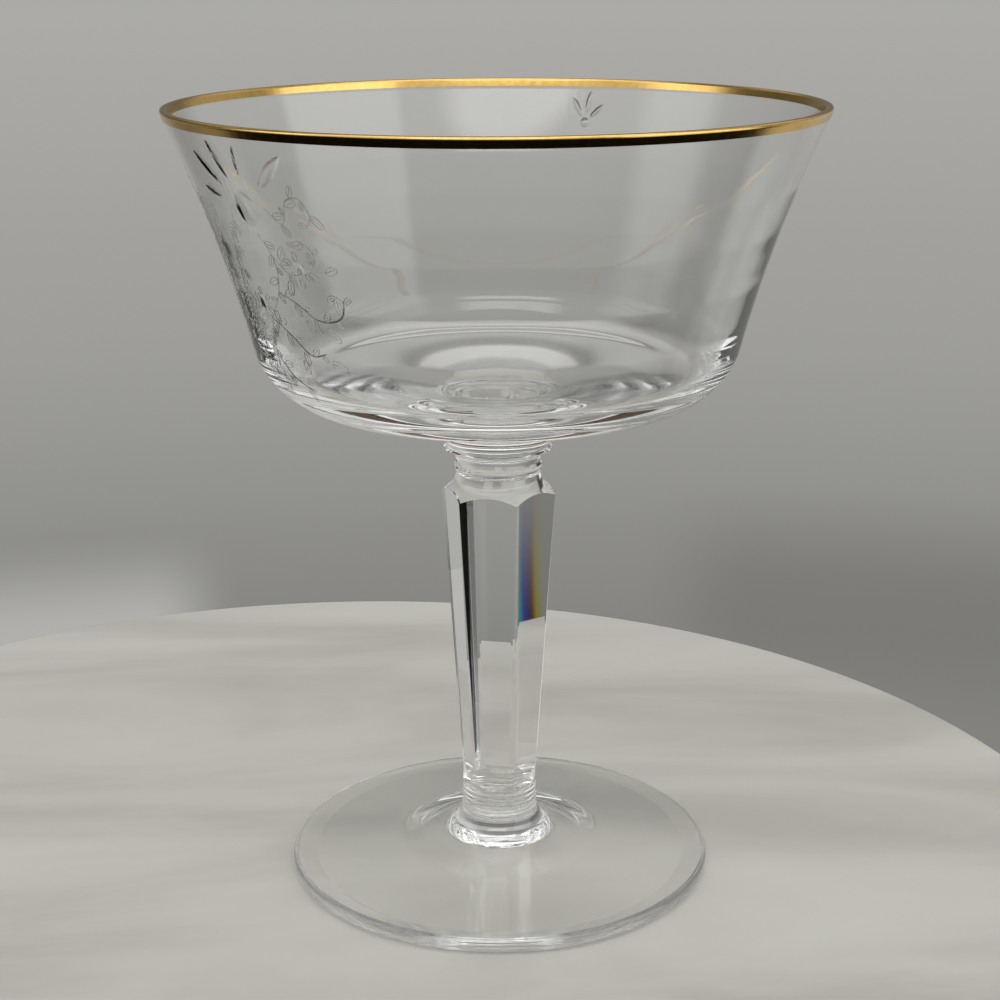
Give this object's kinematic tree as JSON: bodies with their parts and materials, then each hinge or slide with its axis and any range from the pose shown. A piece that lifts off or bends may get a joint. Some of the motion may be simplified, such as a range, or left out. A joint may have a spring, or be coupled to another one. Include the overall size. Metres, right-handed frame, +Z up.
{
  "type": "sherbet glass",
  "caption": "Clear crystal sherbet glass: wide flared bowl with a gilded rim and thick base, on a cut faceted stem with beaded joining wafers and a round foot.",
  "frame": {"origin": "middle of the foot's resting ring, on the surface that the glass stands on", "axes": "+Z up along the axis of the stem and bowl, -Y towards the side that the picture shows"},
  "size_m": [0.1076, 0.1076, 0.133],
  "materials": {
    "crystal": "clear polished crystal",
    "gold": "burnished fired gold"
  },
  "bodies": {
    "root": {"foot": "crystal", "foot_merese": "crystal", "stem": "crystal", "bowl_merese": "crystal", "bowl": "crystal", "rim_gilding": "gold"}
  },
  "joints": []
}
